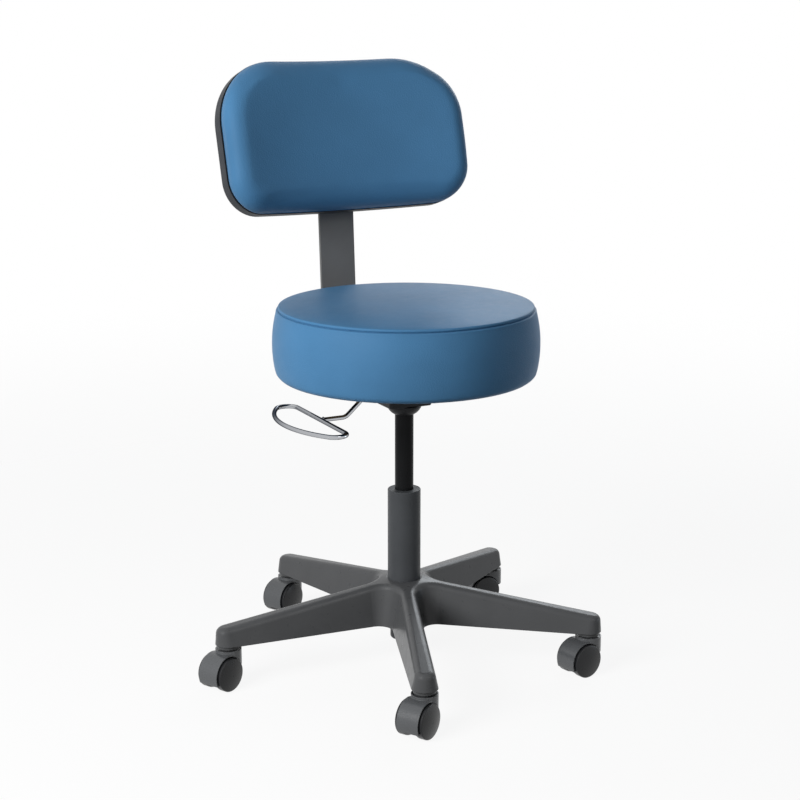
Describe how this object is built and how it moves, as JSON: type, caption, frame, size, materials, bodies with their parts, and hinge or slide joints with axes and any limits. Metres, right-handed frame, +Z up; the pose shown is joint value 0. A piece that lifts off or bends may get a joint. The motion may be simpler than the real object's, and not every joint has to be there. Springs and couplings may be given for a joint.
{
  "type": "stool with backrest",
  "caption": "Height-adjustable swivel stool with a round upholstered seat, a wrapped backrest on a bent bar, a gas-spring lift with ring lever, and a legged base on casters.",
  "frame": {"origin": "on the floor under the column's axis", "axes": "+Z up along the column, the sitter faces -Y, the backrest stands at +Y, the lever at -X"},
  "size_m": [0.6081, 0.6193, 0.9233],
  "materials": {
    "base_plastic": "satin, lightly textured",
    "column_plastic": "satin paint",
    "caster_plastic": "satin",
    "wheel_plastic": "semi-gloss",
    "steel": "plain zinc plated",
    "cylinder_black": "semi-gloss black",
    "mechanism_black": "satin black",
    "guide_plastic": "plain",
    "buffer_rubber": "matt",
    "lever_chrome": "bright chrome",
    "plywood": "raw plywood",
    "foam": "open-cell foam",
    "vinyl_blue": "fine-grained vinyl",
    "dust_cloth": "non-woven",
    "bar_paint": "satin powder coat",
    "shell_plastic": "textured",
    "knob_plastic": "satin",
    "brass": "plain"
  },
  "bodies": {
    "base": {"base_star": "base_plastic", "column_tube": "column_plastic", "guide_bush": "guide_plastic", "bearing_race_lower": "steel", "bearing_balls": "steel", "caster_stems": "steel", "stem_grip_rings": "steel"},
    "piston": {"piston_rod": "steel", "piston": "guide_plastic", "bearing_race_upper": "steel", "rod_buffer": "buffer_rubber", "retaining_clip": "steel"},
    "seat": {"gas_cylinder": "cylinder_black", "cylinder_gland": "guide_plastic", "taper_socket": "mechanism_black", "seat_plate": "mechanism_black", "lever_pivot_pin": "steel", "seat_board": "plywood", "seat_t_nuts": "steel", "seat_bolts": "steel", "seat_foam": "foam", "seat_cover_top": "vinyl_blue", "seat_cover_side": "vinyl_blue", "seat_dust_cover": "dust_cloth", "back_bar": "bar_paint", "bar_bolts": "steel"},
    "valve": {"valve_button": "guide_plastic"},
    "lever": {"lever_arm": "lever_chrome", "lever_ring": "lever_chrome"},
    "backrest": {"back_shell": "shell_plastic", "back_board": "plywood", "back_foam": "foam", "back_cover": "vinyl_blue", "back_guide": "guide_plastic", "shell_screws": "steel", "clamp_stud": "steel", "clamp_washer": "steel"},
    "knob": {"back_knob": "knob_plastic", "knob_insert": "brass"},
    "caster_1": {"caster_1_hood": "caster_plastic", "caster_1_axle": "steel"},
    "caster_1_wheel_left": {"caster_1_wheel_left": "wheel_plastic"},
    "caster_1_wheel_right": {"caster_1_wheel_right": "wheel_plastic"},
    "caster_2": {"caster_2_hood": "caster_plastic", "caster_2_axle": "steel"},
    "caster_2_wheel_left": {"caster_2_wheel_left": "wheel_plastic"},
    "caster_2_wheel_right": {"caster_2_wheel_right": "wheel_plastic"},
    "caster_3": {"caster_3_hood": "caster_plastic", "caster_3_axle": "steel"},
    "caster_3_wheel_left": {"caster_3_wheel_left": "wheel_plastic"},
    "caster_3_wheel_right": {"caster_3_wheel_right": "wheel_plastic"},
    "caster_4": {"caster_4_hood": "caster_plastic", "caster_4_axle": "steel"},
    "caster_4_wheel_left": {"caster_4_wheel_left": "wheel_plastic"},
    "caster_4_wheel_right": {"caster_4_wheel_right": "wheel_plastic"},
    "caster_5": {"caster_5_hood": "caster_plastic", "caster_5_axle": "steel"},
    "caster_5_wheel_left": {"caster_5_wheel_left": "wheel_plastic"},
    "caster_5_wheel_right": {"caster_5_wheel_right": "wheel_plastic"}
  },
  "joints": [
    {"name": "seat_swivel", "type": "hinge", "parent": "base", "child": "piston", "pos_m": [0, 0, 0.0326], "axis": [0, 0, 1], "continuous": true},
    {"name": "seat_lift", "type": "slide", "parent": "piston", "child": "seat", "axis": [0, 0, 1], "range_m": [-0.115, 0.01]},
    {"name": "valve_press", "type": "slide", "parent": "seat", "child": "valve", "axis": [0, 0, 1], "range_m": [-0.00293, 0]},
    {"name": "lever_lift", "type": "hinge", "parent": "seat", "child": "lever", "pos_m": [-0.024, 0, 0.4425], "axis": [0, 1, 0], "range_deg": [0, 7]},
    {"name": "back_height", "type": "slide", "parent": "seat", "child": "backrest", "axis": [0, 0.2874, 0.9578], "range_m": [-0.025, 0.025]},
    {"name": "back_knob_turn", "type": "hinge", "parent": "backrest", "child": "knob", "pos_m": [0, 0.2647, 0.7947], "axis": [0, 0.9578, -0.2874], "continuous": true},
    {"name": "caster_1_swivel", "type": "hinge", "parent": "base", "child": "caster_1", "pos_m": [-0.07459, 0.28231, 0.0505], "axis": [0, 0, 1], "continuous": true},
    {"name": "caster_1_left_roll", "type": "hinge", "parent": "caster_1", "child": "caster_1_wheel_left", "pos_m": [-0.09152, 0.27369, 0.026], "axis": [-0.454, 0.891, 0], "continuous": true},
    {"name": "caster_1_right_roll", "type": "hinge", "parent": "caster_1", "child": "caster_1_wheel_right", "pos_m": [-0.09152, 0.27369, 0.026], "axis": [-0.454, 0.891, 0], "continuous": true},
    {"name": "caster_2_swivel", "type": "hinge", "parent": "base", "child": "caster_2", "pos_m": [-0.29154, 0.0163, 0.0505], "axis": [0, 0, 1], "continuous": true},
    {"name": "caster_2_left_roll", "type": "hinge", "parent": "caster_2", "child": "caster_2_wheel_left", "pos_m": [-0.30847, 0.00767, 0.026], "axis": [-0.454, 0.891, 0], "continuous": true},
    {"name": "caster_2_right_roll", "type": "hinge", "parent": "caster_2", "child": "caster_2_wheel_right", "pos_m": [-0.30847, 0.00767, 0.026], "axis": [-0.454, 0.891, 0], "continuous": true},
    {"name": "caster_3_swivel", "type": "hinge", "parent": "base", "child": "caster_3", "pos_m": [-0.10559, -0.27224, 0.0505], "axis": [0, 0, 1], "continuous": true},
    {"name": "caster_3_left_roll", "type": "hinge", "parent": "caster_3", "child": "caster_3_wheel_left", "pos_m": [-0.12188, -0.28202, 0.026], "axis": [-0.515, 0.8572, 0], "continuous": true},
    {"name": "caster_3_right_roll", "type": "hinge", "parent": "caster_3", "child": "caster_3_wheel_right", "pos_m": [-0.12188, -0.28202, 0.026], "axis": [-0.515, 0.8572, 0], "continuous": true},
    {"name": "caster_4_swivel", "type": "hinge", "parent": "base", "child": "caster_4", "pos_m": [0.22628, -0.18455, 0.0505], "axis": [0, 0, 1], "continuous": true},
    {"name": "caster_4_left_roll", "type": "hinge", "parent": "caster_4", "child": "caster_4_wheel_left", "pos_m": [0.2077, -0.1885, 0.026], "axis": [-0.2079, 0.9781, 0], "continuous": true},
    {"name": "caster_4_right_roll", "type": "hinge", "parent": "caster_4", "child": "caster_4_wheel_right", "pos_m": [0.2077, -0.1885, 0.026], "axis": [-0.2079, 0.9781, 0], "continuous": true},
    {"name": "caster_5_swivel", "type": "hinge", "parent": "base", "child": "caster_5", "pos_m": [0.24545, 0.15818, 0.0505], "axis": [0, 0, 1], "continuous": true},
    {"name": "caster_5_left_roll", "type": "hinge", "parent": "caster_5", "child": "caster_5_wheel_left", "pos_m": [0.22646, 0.15752, 0.026], "axis": [-0.0349, 0.9994, 0], "continuous": true},
    {"name": "caster_5_right_roll", "type": "hinge", "parent": "caster_5", "child": "caster_5_wheel_right", "pos_m": [0.22646, 0.15752, 0.026], "axis": [-0.0349, 0.9994, 0], "continuous": true}
  ],
  "couplings": [
    {"joint": "valve_press", "follows": "lever_lift", "m_per_rad": -0.024}
  ]
}
